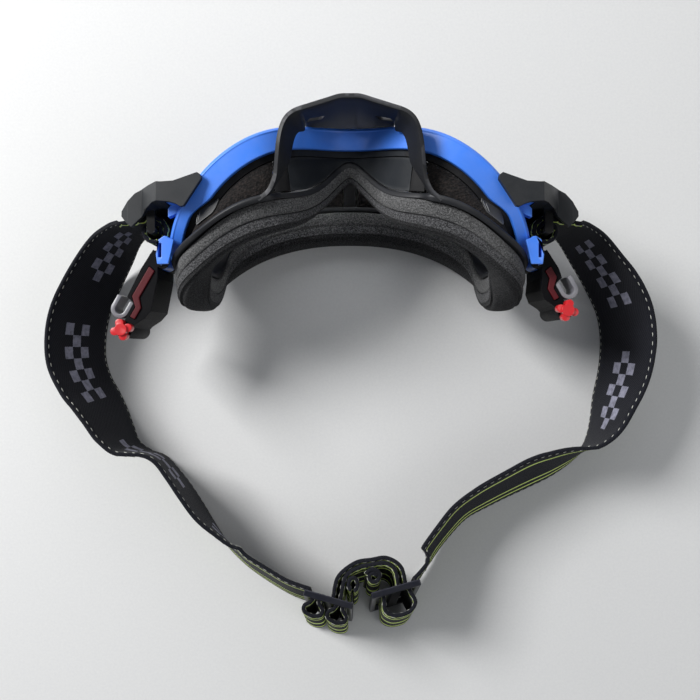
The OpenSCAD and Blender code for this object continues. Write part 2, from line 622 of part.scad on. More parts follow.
// The arch meets the sliders end on
end_v = 2.15;
module strap_arch() color([0.07, 0.07, 0.09]) {
    rear_band([left_slider(2, end_v), [-6.4, -143], [2.7, -135.5], [11.7, -133.7], [19.7, -132.8],
        [27.1, -137.4], right_slider(6, end_v)], 5);
    rear_band([left_slider(6, end_v), [-2.4, -143], [4, -138.2], [11.7, -136.3], [19, -135.6],
        [24, -139], right_slider(2, end_v)], 5);
}
module strap_tails() color([0.07, 0.07, 0.09]) {
    rear_band([for (a = [-80 : 40 : 240]) [1.65, -147] + [2.4 * cos(a), 3.6 * sin(a)]], 3);
    rear_band([for (a = [0 : 40 : 520]) [12.6, -142.75] + (1.2 + 2.1 * a / 360) * [cos(a), sin(a)]], 3);
}
module slider_loops_left() color([0.07, 0.07, 0.09])
    for (u = [-slot_u, slot_u])
        rear_band([for (q = [[-1.6, 1], [-2.2, -3], [-5, -6], [-4.4, -9], [0, -10.4], [4.4, -9], [5, -6],
            [2.2, -3], [1.6, 1]]) left_slider(u + q.x, q.y)], 3);
module slider_loop_right() color([0.07, 0.07, 0.09])
    rear_band([for (q = [[-slot_u, 1], [-slot_u - 1, -4], [-8.4, -9], [-5, -12.6], [0, -13.6], [5, -12.6],
        [8.4, -9], [slot_u + 1, -4], [slot_u, 1]]) right_slider(q.x, q.y)], 3);

// A slider leans forwards like the bands, with level ends
slider_top = slider_h * cos(rear_tilt);
module slider_bar(at, turn, u, w, thick, low, high) intersection() {
    translate([at.x, at.y + loop_y, 0]) rotate([-rear_tilt, 0, 0]) rotate(atan(tan(turn) * cos(rear_tilt)))
        translate([u - w / 2, -thick / 2, -slider_h]) cube([w, thick, 3 * slider_h]);
    translate([-frame_h, -2 * frame_h, low]) cube([2 * frame_h, 2 * frame_h, high - low]);
}
module slider(at, turn) translate([0, -rear_z * tan(rear_tilt), 0]) difference() {
    slider_bar(at, turn, 0, slider_w, slider_t, 0, slider_top);
    for (u = [-slot_u, slot_u])
        slider_bar(at, turn, u, slot_w, 3 * slider_t, slider_end, slider_top - slider_end);
}
module slider_left() color(black) slider(slider_left_at, -slider_turn);
module slider_right() color(black) slider(slider_right_at, slider_turn);

// Rolled ends of the strap round the bars of the outriggers

roll_turns = 1.4;
roll_in = bar_d / 2 + seat_gap + strap_t / 2;
roll_pitch = strap_t + 0.4;
function roll_spiral(end) = [for (i = [0 : 32])
    let(a = end + 360 * roll_turns * (1 - i / 32), r = roll_in + roll_pitch * roll_turns * i / 32)
    r * [cos(a), sin(a)]];
module right_strap_end() {
    p = concat(roll_spiral(62), [[9, 4.4], [13, 4.3], [17, 3.7]]);
    band = [for (i = [0 : len(p) - 1]) p[i] + left_of(p, i) * strap_t / 2];
    back = [for (i = [len(p) - 1 : -1 : 0]) p[i] - left_of(p, i) * strap_t / 2];
    translate([bar.x, bar.y, outrigger_z + outrigger_wall + seat_gap])
        linear_extrude(strap_w) polygon(concat(band, back));
}
module strap_end_right() color([0.07, 0.07, 0.09]) right_strap_end();
module strap_end_left() color([0.07, 0.07, 0.09]) mirror([1, 0, 0]) right_strap_end();

outer_frame();
inner_frame();
face_flange();
frame_ribs();
lens();
nose_plate();
nose_guard();
vent_foam_cheek_left();
vent_foam_cheek_right();
vent_foam_brow_left();
vent_foam_brow_right();
foam_base();
foam_middle();
foam_fleece();
side_tabs();
outrigger_left();
outrigger_right();
outrigger_bracket_left();
outrigger_bracket_right();
outrigger_pin_left();
outrigger_pin_right();
strap_end_left();
strap_end_right();
side_arm_left();
side_arm_right();
arm_bracket_left();
arm_bracket_right();
arm_pin_left();
arm_pin_right();
hook_clip_left();
hook_clip_right();
liner_strip_left();
liner_strip_right();
red_knob_left();
red_knob_right();
strap_left();
strap_right();
strap_arch();
strap_tails();
slider_left();
slider_right();
slider_loops_left();
slider_loop_right();
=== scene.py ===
"""Motocross goggles, standing upside down on the brow edge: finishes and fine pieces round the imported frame."""
from math import asin, copysign, cos, degrees, exp, pi, radians, sin

import bmesh
import bpy
from mathutils import Matrix, Vector


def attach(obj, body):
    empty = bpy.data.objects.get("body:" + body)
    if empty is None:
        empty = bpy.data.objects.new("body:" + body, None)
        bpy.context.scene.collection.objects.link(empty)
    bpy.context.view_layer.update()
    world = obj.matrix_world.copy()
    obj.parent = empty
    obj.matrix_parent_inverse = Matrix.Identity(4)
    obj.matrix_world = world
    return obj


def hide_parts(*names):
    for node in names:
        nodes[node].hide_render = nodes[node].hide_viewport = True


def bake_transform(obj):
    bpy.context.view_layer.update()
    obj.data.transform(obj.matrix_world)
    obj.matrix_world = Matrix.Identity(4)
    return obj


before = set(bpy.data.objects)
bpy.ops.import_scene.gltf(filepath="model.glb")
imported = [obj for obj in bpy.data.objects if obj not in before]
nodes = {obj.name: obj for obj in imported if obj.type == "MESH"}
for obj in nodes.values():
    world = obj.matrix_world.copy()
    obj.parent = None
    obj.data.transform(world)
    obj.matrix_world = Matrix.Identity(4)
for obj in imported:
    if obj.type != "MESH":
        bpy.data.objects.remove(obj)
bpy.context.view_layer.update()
scene = bpy.context.scene
MM = 0.001

# Camera, straight above the goggles as in the photograph

eye = bpy.data.cameras.new("eye")
eye.sensor_width = 36
eye.lens = 38.7
eye_object = bpy.data.objects.new("eye", eye)
eye_object.location = (0, 0.0246, 0.45)
scene.collection.objects.link(eye_object)
scene.camera = eye_object

# Shared shader groups


class Sheet:
    """A node tree with short calls to lay nodes and link them. A colour is given as red, green and blue."""

    def __init__(self, tree):
        self.tree = tree

    def plug(self, value, socket):
        """Links a socket to another node's output, or sets it."""
        if isinstance(value, bpy.types.NodeSocket):
            self.tree.links.new(value, socket)
        else:
            socket.default_value = (*value, 1) if socket.type == "RGBA" else value

    def fill(self, node, inputs):
        for title, value in inputs.items():
            self.plug(value, node.inputs[title])
        return node

    def add(self, kind, settings=None, **inputs):
        """A new node with its settings made, and its inputs linked or set by name."""
        node = self.tree.nodes.new("ShaderNode" + kind)
        for key, value in (settings or {}).items():
            setattr(node, key, value)
        return self.fill(node, inputs)

    def group(self, tree, **inputs):
        return self.add("Group", {"node_tree": tree}, **inputs).outputs

    def math(self, operation, a, b=0.0, c=0.0, clamp=False):
        node = self.add("Math", {"operation": operation, "use_clamp": clamp})
        for value, socket in zip((a, b, c), node.inputs):
            self.plug(value, socket)
        return node.outputs[0]

    def times_plus(self, a, factor, offset):
        """A value scaled and moved, kept between nought and one."""
        return self.math("MULTIPLY_ADD", a, factor, offset, clamp=True)

    def mix(self, share, a, b):
        """Colour a, going over to colour b by share."""
        node = self.add("Mix", {"data_type": "RGBA"}, Factor=share)
        self.plug(a, node.inputs[6])
        self.plug(b, node.inputs[7])
        return node.outputs[2]

    def place(self):
        return self.add("TexCoord").outputs["Object"]

    def split(self, vector):
        return self.add("SeparateXYZ", Vector=vector).outputs

    def noise(self, scale, detail=3.0, rough=0.5, at=None):
        return self.add("TexNoise", Scale=scale, Detail=detail, Roughness=rough,
                        Vector=at or self.place()).outputs["Fac"]

    def bump(self, height, strength, distance):
        return self.add("Bump", Height=height, Strength=strength, Distance=distance).outputs["Normal"]

    def band(self, value, low, high, soft):
        """One between low and high, falling to nothing over soft."""
        up = self.math("DIVIDE", self.math("SUBTRACT", value, low), soft, clamp=True)
        down = self.math("DIVIDE", self.math("SUBTRACT", high, value), soft, clamp=True)
        return self.math("MULTIPLY", up, down)

    def out(self, **values):
        self.fill(self.tree.nodes.new("NodeGroupOutput"), values)


def new_group(name, inputs, outputs):
    """A shader group with its sockets, the sheet to fill it on, and what its inputs bring in."""
    group = bpy.data.node_groups.new(name, "ShaderNodeTree")
    kinds = {"f": "NodeSocketFloat", "c": "NodeSocketColor", "v": "NodeSocketVector"}
    for title, kind, value in inputs:
        socket = group.interface.new_socket(title, in_out="INPUT", socket_type=kinds[kind])
        socket.default_value = (*value, 1) if kind == "c" else value
    for title, kind in outputs:
        group.interface.new_socket(title, in_out="OUTPUT", socket_type=kinds[kind])
    return group, Sheet(group), group.nodes.new("NodeGroupInput").outputs


BLACK = (0, 0, 0)
DUST = (0.55, 0.53, 0.5)

# Moulded plastic: fine spark grain, a faintly clouded shade, dust on what faces up and light wear on the edges
moulded, s, inside = new_group(
    "moulded_surface",
    [("Color", "c", (0.5, 0.5, 0.5)), ("Worn", "c", (0.8, 0.8, 0.8)), ("Grain", "f", 2600.0),
     ("Bump", "f", 0.12), ("Rough", "f", 0.42), ("Wear", "f", 0.3), ("Dust", "f", 0.15)],
    [("Color", "c"), ("Rough", "f"), ("Normal", "v")])
cloud = s.noise(38.0, 4.0)
fine = s.noise(inside["Grain"], 2.0)
geometry = s.add("NewGeometry").outputs
edge = s.band(geometry["Pointiness"], 0.54, 2.0, 0.05)
patches = s.math("ADD", s.noise(420.0), 0.1, clamp=True)
wear = s.math("MULTIPLY", s.math("MULTIPLY", edge, inside["Wear"]), patches, clamp=True)
facing_up = s.math("MAXIMUM", s.split(geometry["Normal"])["Z"], 0.0)
specks = s.times_plus(s.noise(90.0, 5.0, 0.65), 2.4, -0.85)
dust = s.math("MULTIPLY", s.math("MULTIPLY", facing_up, inside["Dust"]), specks)
shade = s.mix(s.times_plus(cloud, 0.3, -0.02), inside["Color"], BLACK)
shade = s.mix(wear, shade, inside["Worn"])
s.out(Color=s.mix(dust, shade, DUST),
      Rough=s.math("ADD", inside["Rough"], s.math("MULTIPLY_ADD", cloud, 0.16, -0.07)),
      Normal=s.bump(fine, inside["Bump"], 0.0003))

# Open-cell foam or brushed fleece: cells or fibres in height and shade
cells, s, inside = new_group(
    "soft_cells",
    [("Color", "c", (0.1, 0.1, 0.1)), ("Light", "c", (0.3, 0.3, 0.3)), ("Cell", "f", 1400.0),
     ("Depth", "f", 0.6), ("Fleck", "f", 0.5)],
    [("Color", "c"), ("Normal", "v")])
cell = s.add("TexVoronoi", Vector=s.place(), Scale=inside["Cell"]).outputs["Distance"]
fuzz = s.noise(s.math("MULTIPLY", inside["Cell"], 0.7), 5.0, 0.7)
patch = s.noise(60.0, 4.0, 0.6)
height = s.math("ADD", s.math("MULTIPLY", cell, 0.9), fuzz)
fleck = s.math("MULTIPLY", s.times_plus(fuzz, 3.2, -1.35), inside["Fleck"])
tone = s.mix(s.times_plus(patch, 0.7, -0.1), inside["Color"], s.mix(0.55, inside["Color"], BLACK))
s.out(Color=s.mix(fleck, tone, inside["Light"]), Normal=s.bump(height, inside["Depth"], 0.0006))

# Woven webbing on the band's own UV, u along it and v across it in metres: ribs of weft, warp lines between, the
# raised weave painted lighter as a painted sheen
WEB_SHINE = (0.018, 0.019, 0.027)
webbing, s, inside = new_group(
    "webbing_weave",
    [("Color", "c", (0.0055, 0.006, 0.0095)), ("Rib", "f", 1.1), ("Depth", "f", 0.7)],
    [("Color", "c"), ("Height", "f"), ("U", "f"), ("V", "f")])
uv = s.split(s.add("UVMap", {"uv_map": "run"}).outputs["UV"])
TURN_PER_MM = 2 * pi / MM
ribs = s.math("DIVIDE", s.math("MULTIPLY", uv["X"], TURN_PER_MM), inside["Rib"])
across = s.math("MULTIPLY", uv["Y"], TURN_PER_MM)
weft = s.math("SINE", ribs)
warp = s.math("SINE", s.math("MULTIPLY", across, 1.25))
twill = s.math("SINE", s.math("MULTIPLY_ADD", ribs, 0.5, s.math("MULTIPLY", across, 0.62)))
weave = s.math("MULTIPLY_ADD", s.math("MULTIPLY", weft, warp), 0.25,
               s.math("MULTIPLY_ADD", twill, 0.2, 0.5))
fibre = s.noise(2200.0, 3.0, 0.6)
fade = s.math("MULTIPLY_ADD", s.noise(45.0, 4.0), 0.8, 0.5)
level = s.math("MULTIPLY", s.math("ADD", weave, s.math("MULTIPLY", fibre, 0.5)), fade)
# Where the weave stands high it is painted lighter: painted sheen
s.out(Color=s.mix(s.times_plus(level, 0.9, -0.42), inside["Color"], WEB_SHINE),
      Height=s.math("ADD", s.math("MULTIPLY", weave, inside["Depth"]), s.math("MULTIPLY", fibre, 0.35)),
      U=uv["X"], V=uv["Y"])

# Materials


def finish(name):
    """A new material, the sheet of its nodes and its Principled shader."""
    material = bpy.data.materials.new(name)
    material.use_nodes = True
    return material, Sheet(material.node_tree), material.node_tree.nodes["Principled BSDF"]


def mould(sheet, shader, color, worn, rough=0.42, grain=2600.0, bump=0.12, wear=0.3, dust=0.15, coat=0.0,
          gloss=0.5):
    """Gives a shader the moulded surface."""
    made = sheet.group(moulded, Color=color, Worn=worn, Grain=grain, Bump=bump, Rough=rough, Wear=wear,
                       Dust=dust)
    sheet.fill(shader, {"Base Color": made["Color"], "Roughness": made["Rough"], "Normal": made["Normal"],
                        "Coat Weight": coat, "Coat Roughness": 0.3, "Specular IOR Level": gloss})


def moulded_finish(name, color, worn, rough, **look):
    material, sheet, shader = finish(name)
    mould(sheet, shader, color, worn, rough, **look)
    return material


def foam_finish(name, color, light, cell, fleck, sheen):
    material, sheet, shader = finish(name)
    made = sheet.group(cells, Color=color, Light=light, Cell=cell, Depth=1.0, Fleck=fleck)
    sheet.fill(shader, {"Base Color": made["Color"], "Normal": made["Normal"], "Roughness": 0.95,
                        "Specular IOR Level": 0.15, "Sheen Weight": sheen, "Sheen Roughness": 0.6})
    return material


DEEP_BLACK = (0.005, 0.005, 0.006)
NOSE_GREY = (0.012, 0.015, 0.019)

blue = moulded_finish("blue_plastic", (0.052, 0.235, 0.93), (0.35, 0.55, 1.0), 0.4, wear=0.35, dust=0.08,
                      coat=0.15)
# Used on the ribs inside the goggles: this deep black is partly their black plastic and partly painted shade
deep_black = moulded_finish("deep_black", DEEP_BLACK, (0.06, 0.06, 0.06), 0.65, bump=0.3, wear=0.2, dust=0.02,
                            gloss=0.2)
arm_black = moulded_finish("arm_black", (0.004, 0.004, 0.005), (0.09, 0.09, 0.095), 0.6, bump=0.3, wear=0.5,
                           dust=0.004, gloss=0.08)
rim_black = moulded_finish("rim_black", (0.013, 0.014, 0.017), (0.24, 0.24, 0.26), 0.5, bump=0.2, dust=0.03,
                           gloss=0.38)
slider_black = moulded_finish("slider_black", (0.008, 0.009, 0.016), (0.14, 0.14, 0.18), 0.36, bump=0.08,
                              wear=0.4, dust=0.02, gloss=0.3)
nose_grey = moulded_finish("nose_grey", NOSE_GREY, (0.15, 0.15, 0.15), 0.6, grain=1800.0, bump=0.45, wear=0.2,
                           dust=0.02, gloss=0.2)
hook_grey = moulded_finish("hook_grey", (0.17, 0.17, 0.19), (0.5, 0.5, 0.52), 0.34, wear=0.4)
tab_grey = moulded_finish("tab_grey", (0.07, 0.07, 0.07), (0.4, 0.4, 0.4), 0.5, bump=0.2, wear=0.8, dust=0.05)
pale_edge = moulded_finish("pale_edge", (0.42, 0.42, 0.41), (0.8, 0.8, 0.8), 0.35, bump=0.1)
red = moulded_finish("red_plastic", (0.6, 0.012, 0.018), (0.9, 0.25, 0.24), 0.3, bump=0.05, dust=0.02,
                     coat=0.25)
# The liner strips' red is painted dark, as painted shade on red plastic
dark_red = moulded_finish("dark_red", (0.085, 0.004, 0.008), (0.2, 0.03, 0.035), 0.55, bump=0.4, dust=0.01,
                          gloss=0.25)
foam_grey = foam_finish("foam_grey", (0.052, 0.052, 0.053), (0.34, 0.34, 0.34), 2000.0, 0.75, 0.12)
foam_dark = foam_finish("foam_dark", (0.023, 0.023, 0.025), (0.28, 0.28, 0.29), 2100.0, 0.8, 0.08)
# The face fleece is black, and painted darker still as the shade inside the foam ring
fleece = foam_finish("fleece", (0.008, 0.008, 0.009), (0.12, 0.12, 0.125), 2300.0, 0.6, 0.06)
# The vent foam is dark, and painted darker still as the shade inside the goggles
vent_foam = foam_finish("vent_foam", (0.006, 0.0055, 0.0055), (0.045, 0.034, 0.03), 900.0, 0.6, 0.05)

# The hoop is black behind the lens and the colour of the nose panel above the nose
hoop_black, sheet, shader = finish("hoop_black")
spot = sheet.split(sheet.place())
at_nose = sheet.math("MULTIPLY", sheet.band(spot["X"], -0.0275, 0.0275, 0.0015),
                     sheet.band(spot["Z"], 0.05, 1.0, 0.005))
mould(sheet, shader, sheet.mix(at_nose, DEEP_BLACK, NOSE_GREY), (0.15, 0.15, 0.15), 0.6, grain=2000.0, bump=0.4,
      wear=0.2, dust=0.03, gloss=0.25)

steel, sheet, shader = finish("pin_steel")
lengthwise = sheet.add("Mapping", Vector=sheet.place(), Scale=(1, 1, 0.05)).outputs["Vector"]
brushed = sheet.noise(900.0, 4.0, 0.6, lengthwise)
sheet.fill(shader, {"Base Color": sheet.mix(brushed, (0.5, 0.5, 0.52), (0.72, 0.72, 0.74)), "Metallic": 1.0,
                    "Roughness": sheet.math("MULTIPLY_ADD", brushed, 0.2, 0.2),
                    "Normal": sheet.bump(brushed, 0.15, 0.0002)})

glass, sheet, shader = finish("clear_lens")
haze = sheet.noise(120.0, 5.0, 0.7)
sheet.fill(shader, {"Base Color": sheet.mix(haze, (0.97, 0.98, 0.99), (0.93, 0.95, 0.97)), "IOR": 1.5,
                    "Roughness": sheet.math("MULTIPLY_ADD", haze, 0.1, 0.01), "Transmission Weight": 1.0})

thread, sheet, shader = finish("stitch_thread")
twist = sheet.noise(2600.0, 2.0)
sheet.fill(shader, {"Base Color": sheet.mix(twist, (0.62, 0.62, 0.55), (0.36, 0.37, 0.34)), "Roughness": 0.8,
                    "Normal": sheet.bump(twist, 0.5, 0.0002)})

# The strap's colours and, in mm, its width and thickness
LIME, PALE_MARK = (0.78, 0.95, 0.27), (0.30, 0.30, 0.38)
STRAP_W, STRAP_T = 50, 2.0
# In metres of UV: where the inner face starts at its top edge, the side of its checks and where they start
INNER_V = 0.054
MARK, MARK_TOP = 0.0066, INNER_V + 0.014
# In checks: from one group to the next, and the length of a group
GROUP_PITCH, GROUP_LENGTH = 11.0, 6.5
# Half the length of a zigzag, in metres, and how steep it is
ZIG, ZIG_SLOPE = 0.0021, 1.1


def strap_finish(name, lime_runs, zigzag=(), marks=False):
    """Webbing with woven lime lines, lime zigzags and groups of pale checks. Lines and zigzags are given by
    their low and high edges, in mm up the outer face and on over the top edge."""
    material, sheet, shader = finish(name)
    made = sheet.group(webbing)
    u, v, color, height = made["U"], made["V"], made["Color"], made["Height"]
    ragged = sheet.math("MULTIPLY_ADD", sheet.noise(1500.0, 2.0), 0.0006, -0.0003)
    swing = sheet.math("MULTIPLY", sheet.math("PINGPONG", u, ZIG), ZIG_SLOPE)
    lines = [(sheet.math("ADD", v, ragged), *run) for run in lime_runs]
    lines += [(sheet.math("SUBTRACT", v, swing), *run) for run in zigzag]
    for place, low, high in lines:
        color = sheet.mix(sheet.band(place, low * MM, high * MM, 0.0002), color, LIME)
    if marks:
        along = sheet.math("ADD", u, ragged)
        across = sheet.math("SUBTRACT", sheet.math("ADD", v, ragged), MARK_TOP)
        column = sheet.math("FLOOR", sheet.math("DIVIDE", along, MARK))
        row = sheet.math("FLOOR", sheet.math("DIVIDE", across, MARK))
        above_nought = sheet.math("ADD", sheet.math("ADD", column, row), 40.0)
        check = sheet.math("MODULO", above_nought, 2.0)
        in_group = sheet.math("FRACT", sheet.math("DIVIDE", column, GROUP_PITCH))
        grouped = sheet.math("LESS_THAN", sheet.math("MULTIPLY", in_group, GROUP_PITCH), GROUP_LENGTH)
        shown = sheet.math("MULTIPLY", sheet.band(across, 0.0, 3 * MARK, 0.0003), grouped)
        faded = sheet.times_plus(sheet.noise(420.0, 3.0), 1.2, 0.12)
        mark = sheet.math("MULTIPLY", sheet.math("MULTIPLY", check, shown), faded)
        color = sheet.mix(mark, color, PALE_MARK)
        height = sheet.math("MULTIPLY_ADD", mark, 0.25, height)
    sheet.fill(shader, {"Base Color": color, "Normal": sheet.bump(height, 0.7, 0.0004), "Roughness": 0.85,
                        "Specular IOR Level": 0.15, "Sheen Weight": 0.06, "Sheen Roughness": 0.5})
    return material


marked_strap = strap_finish("strap_marked", [(5.6, 7.6), (12.8, 14.8), (40.4, 42.2)], marks=True)
loop_strap = strap_finish("strap_loop", [(4.0, 7.6), (19.8, 23.8), (38.0, 40.4)], [(43.8, 46.2), (55.4, 57.0)])
rolled_strap = strap_finish("strap_rolled", [(20.4, 23.4)], [(44.8, 47.2), (54.0, 56.2)])

# Making of pieces


def settle(name, bm, material, body, stands_for=(), sharp=35.0, modifiers=()):
    """Makes the mesh a piece that rides on a body and stands for its nodes. Edges past sharp degrees show."""
    for edge in bm.edges:
        edge.smooth = len(edge.link_faces) != 2 or edge.calc_face_angle() < radians(sharp)
    for face in bm.faces:
        face.smooth = True
    mesh = bpy.data.meshes.new(name)
    bm.to_mesh(mesh)
    bm.free()
    mesh.materials.append(material)
    piece = bpy.data.objects.new(name, mesh)
    scene.collection.objects.link(piece)
    for kind, settings in modifiers:
        modifier = piece.modifiers.new(kind.lower(), kind)
        for key, value in settings.items():
            setattr(modifier, key, value)
    if body:
        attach(piece, body)
    if stands_for:
        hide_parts(*stands_for)
    return piece


def shaped_skin(rows, ring=False, tube=True, run=None):
    """A grid laid over rows of points in mm: ring joins the last row to the first, tube closes each row.
    run gives the UV values along and across, in metres."""
    across, along = len(rows[0]), len(rows)
    bm = bmesh.new()
    layer = bm.loops.layers.uv.new("run")
    wide, deep = (across if tube else across - 1), (along if ring else along - 1)
    bmesh.ops.create_grid(bm, x_segments=deep, y_segments=wide, size=0.5, calc_uvs=True)
    if run:
        for face in bm.faces:
            for loop in face.loops:
                u, v = loop[layer].uv
                loop[layer].uv = (run[0][round(u * deep)], run[1][round(v * wide)])
    for vert in bm.verts:
        i, j = round((vert.co.x + 0.5) * deep), round((vert.co.y + 0.5) * wide)
        vert.co = Vector(rows[i % along][j % across]) * MM
    bmesh.ops.remove_doubles(bm, verts=bm.verts, dist=1e-7)
    if tube and not ring:
        bmesh.ops.holes_fill(bm, edges=[e for e in bm.edges if e.is_boundary], sides=0)
    bmesh.ops.recalc_face_normals(bm, faces=bm.faces)
    return bm


def filleted(corners, radius, arc=3):
    """The points of a closed outline with its corners rounded, in arc steps each."""
    points = []
    for i in range(len(corners)):
        a, b, c = (Vector(corners[k % len(corners)]) for k in (i - 1, i, i + 1))
        r = min(radius, (a - b).length / 2.1, (c - b).length / 2.1)
        start, end = b + (a - b).normalized() * r, b + (c - b).normalized() * r
        for k in range(arc + 1):
            u = k / arc
            points.append(start * (1 - u) ** 2 + b * 2 * u * (1 - u) + end * u * u)
    return points


# Edges of a CAD node that turn more than this are rounded, in degrees
ROUNDED_FROM = 28.0
# Faces this broad, as area over outline in mm, get a band this wide inside their edges to carry the wear
BROAD, WEAR_BAND = 0.75, 0.3


def polished(node, material, body, width, segments=2):
    """A copy of a CAD node with its edges rounded as a mould leaves them."""
    bm = bmesh.new()
    bm.from_mesh(nodes[node].data)
    bmesh.ops.remove_doubles(bm, verts=bm.verts, dist=1e-6)
    bmesh.ops.dissolve_limit(bm, angle_limit=radians(1.5), verts=bm.verts, edges=bm.edges)
    edges = [e for e in bm.edges if len(e.link_faces) == 2 and e.calc_face_angle() > radians(ROUNDED_FROM)]
    bmesh.ops.bevel(bm, geom=edges, offset=width * MM, offset_type="OFFSET", segments=segments, profile=0.5,
                    affect="EDGES", clamp_overlap=True, material=-1)
    broad = [f for f in bm.faces if f.calc_area() > BROAD * MM * f.calc_perimeter()]
    bmesh.ops.inset_individual(bm, faces=broad, thickness=WEAR_BAND * MM, use_even_offset=True)
    return settle(node + "_rounded", bm, material, body, [node], 40.0)


# The curves that the pieces follow, in mm and degrees

FRAME_H, HALF_H, MID_Z = 98.0, 47.0, 49.0
LOOP_Y = 24.6
# The front: place, half width, depth and how square its wrap is, how it leans, and how deep its edge goes back
FRONT_Y, FRONT_HALF_W, FRONT_DEPTH, WRAP_POWER = LOOP_Y + 17.6, 91.5, 91, 1.1
RAKE, BACK = 0.04, 8.5
# The angle from the middle to the temples, and how square the corners are
TEMPLE, CORNER_POWER = 76.0, 3.0
DEG_PER_MM = TEMPLE / (1.31 * FRONT_HALF_W)
# The line on which the foam meets the face
FACE_Y, FACE_TEMPLE, FACE_HALF_W, FACE_DEPTH, FACE_HALF_H = LOOP_Y + 10, 80, 80, 51, 37.6
# Rises over the nose, by height and width: of the front's edge, and of the face line forwards and downwards
NOTCH, FACE_FORWARDS, FACE_DOWN = (30, 17), (27, 17), (33, 24)
# The foam's thickness and what it loses over the nose, half its breadth and the share that this loses
FOAM_DEEP, FOAM_LESS_DEEP, FOAM_HALF_W, FOAM_LESS_WIDE = 17, 8.1, 7, 0.3


def powered(value, power):
    return copysign(abs(value) ** power, value)


def eased(u):
    """From nought to one and level at both ends."""
    u = min(1.0, max(0.0, u))
    return u * u * (3 - 2 * u)


def hump(x, high, wide):
    return high * exp(-(x / wide) ** 2)


def spline(a, b, c, d, u):
    """The place u of the way from b to c on a smooth curve through four points."""
    return 0.5 * (2 * b + (c - a) * u + (2 * a - 5 * b + 4 * c - d) * u * u + (3 * b - a - 3 * c + d) * u ** 3)


def smooth_loop(points, count):
    """A closed curve through points, with count steps between each pair."""
    points = [Vector(p) for p in points]
    return [spline(*(points[(i + k) % len(points)] for k in (-1, 0, 1, 2)), step / count)
            for i in range(len(points)) for step in range(count)]


def curve(points, count):
    """An open curve through points, with count steps between each pair."""
    points, last = [Vector(p) for p in points], len(points) - 1
    made = [spline(*(points[min(last, max(0, i + k))] for k in (-1, 0, 1, 2)), step / count)
            for i in range(last) for step in range(count)]
    return made + [points[last]]


def steps(low, high, count):
    return [low + (high - low) * i / count for i in range(count + 1)]


def left_of(path, i):
    d = path[min(len(path) - 1, i + 1)] - path[max(0, i - 1)]
    return Vector((-d.y, d.x, 0)).normalized()


def wrap(a, half_w, depth, y0):
    """A point of a curve round the face, at an angle from its middle."""
    a = radians(a)
    return Vector((half_w * powered(sin(a), 1 / WRAP_POWER), y0 + depth * abs(cos(a)) ** (1 / WRAP_POWER), 0))


def front_line(a):
    return wrap(a, FRONT_HALF_W, FRONT_DEPTH, FRONT_Y)


def front_point(a, w):
    """A point of the front line moved out by w."""
    t = front_line(a + 1) - front_line(a - 1)
    return front_line(a) + w * Vector((-t.y, t.x, 0)).normalized()


def notch(a):
    """How far the chin side's edge comes down over the nose."""
    return hump(a, *NOTCH)


def raked(p, z, top=FRAME_H):
    """A point in plan brought to a height, and forwards by the lean below top."""
    return Vector((p.x, p.y + RAKE * (top - z), z))


# A place round the frame is an angle t, from one temple over the nose at 90 to the other, and back by the brow
RING = [i * 360 / 288 for i in range(288)]


def on_chin_side(t):
    return sin(radians(t)) > 0


def corner(t):
    """The share of the wrap's angle and of the height at a place round the frame."""
    t = radians(t + 12 * sin(radians(2 * t)))
    c, s = cos(t), sin(t)
    r = 1 / (abs(c) ** CORNER_POWER + abs(s) ** CORNER_POWER) ** (1 / CORNER_POWER)
    return c * r, s * r


def front_at(t, q, w):
    """A point of the front, q in from the outline along it and w out from the lens."""
    cx, cz = corner(t)
    n = Vector((powered(cx, 2) * DEG_PER_MM / TEMPLE, powered(cz, 2) / HALF_H)).normalized()
    a = TEMPLE * cx - q * n.x * DEG_PER_MM
    z = MID_Z + HALF_H * cz - q * n.y - (notch(a) if on_chin_side(t) else 0)
    return raked(front_point(a, w), z)


def back_here(t):
    """How deep the frame's edge goes back: less at the temples."""
    return BACK - 4.5 * eased((abs(TEMPLE * corner(t)[0]) - 50) / 11)


def face_line(t):
    cx, cz = corner(t)
    p = wrap(FACE_TEMPLE * cx, FACE_HALF_W, FACE_DEPTH, FACE_Y)
    z = MID_Z + FACE_HALF_H * cz
    if on_chin_side(t):
        return Vector((p.x, p.y + hump(p.x, *FACE_FORWARDS), z - hump(p.x, *FACE_DOWN)))
    return Vector((p.x, p.y, z))


def to_face(t):
    return (face_line(t) - front_at(t, 2, -BACK - 1)).normalized()


def ring_out(t):
    return (face_line(t + 1) - face_line(t - 1)).cross(to_face(t)).normalized()


def behind(t, s, o):
    """A point s forward from the face line and o out from the ring."""
    return face_line(t) - s * to_face(t) + o * ring_out(t)


def nose_share(t):
    return hump(TEMPLE * corner(t)[0], 1, 20) if on_chin_side(t) else 0.0


def foam_depth(t):
    return FOAM_DEEP - FOAM_LESS_DEEP * nose_share(t)


def foam_half(t):
    return FOAM_HALF_W * (1 - FOAM_LESS_WIDE * nose_share(t))


# Blue outer frame and clear lens


def frame_row(t):
    back = back_here(t)
    outline = [(-2, -back), (-2, 0.6), (-2.35, 1.2), (-1, 2.8), (7.6, 2.5), (8, 0.9), (1.5, 0.9), (1.5, -back)]
    return [front_at(t, q, w) for q, w in filleted(outline, 0.7)]


settle("frame_shell", shaped_skin([frame_row(t) for t in RING], ring=True), blue, "frame", ["outer_frame"])

# The lens reaches this angle and this far from the middle's height
LENS_TEMPLE, LENS_HALF_H, LENS_T = TEMPLE - 1.9 * DEG_PER_MM, 45.1, 1.1


def lens_point(a, v, w):
    tall = LENS_HALF_H * max(0.0, 1 - (abs(a) / LENS_TEMPLE) ** 3) ** (1 / 3)
    z = MID_Z - tall + (2 * tall - notch(a) * tall / LENS_HALF_H) * v
    return raked(front_point(a, w), z)


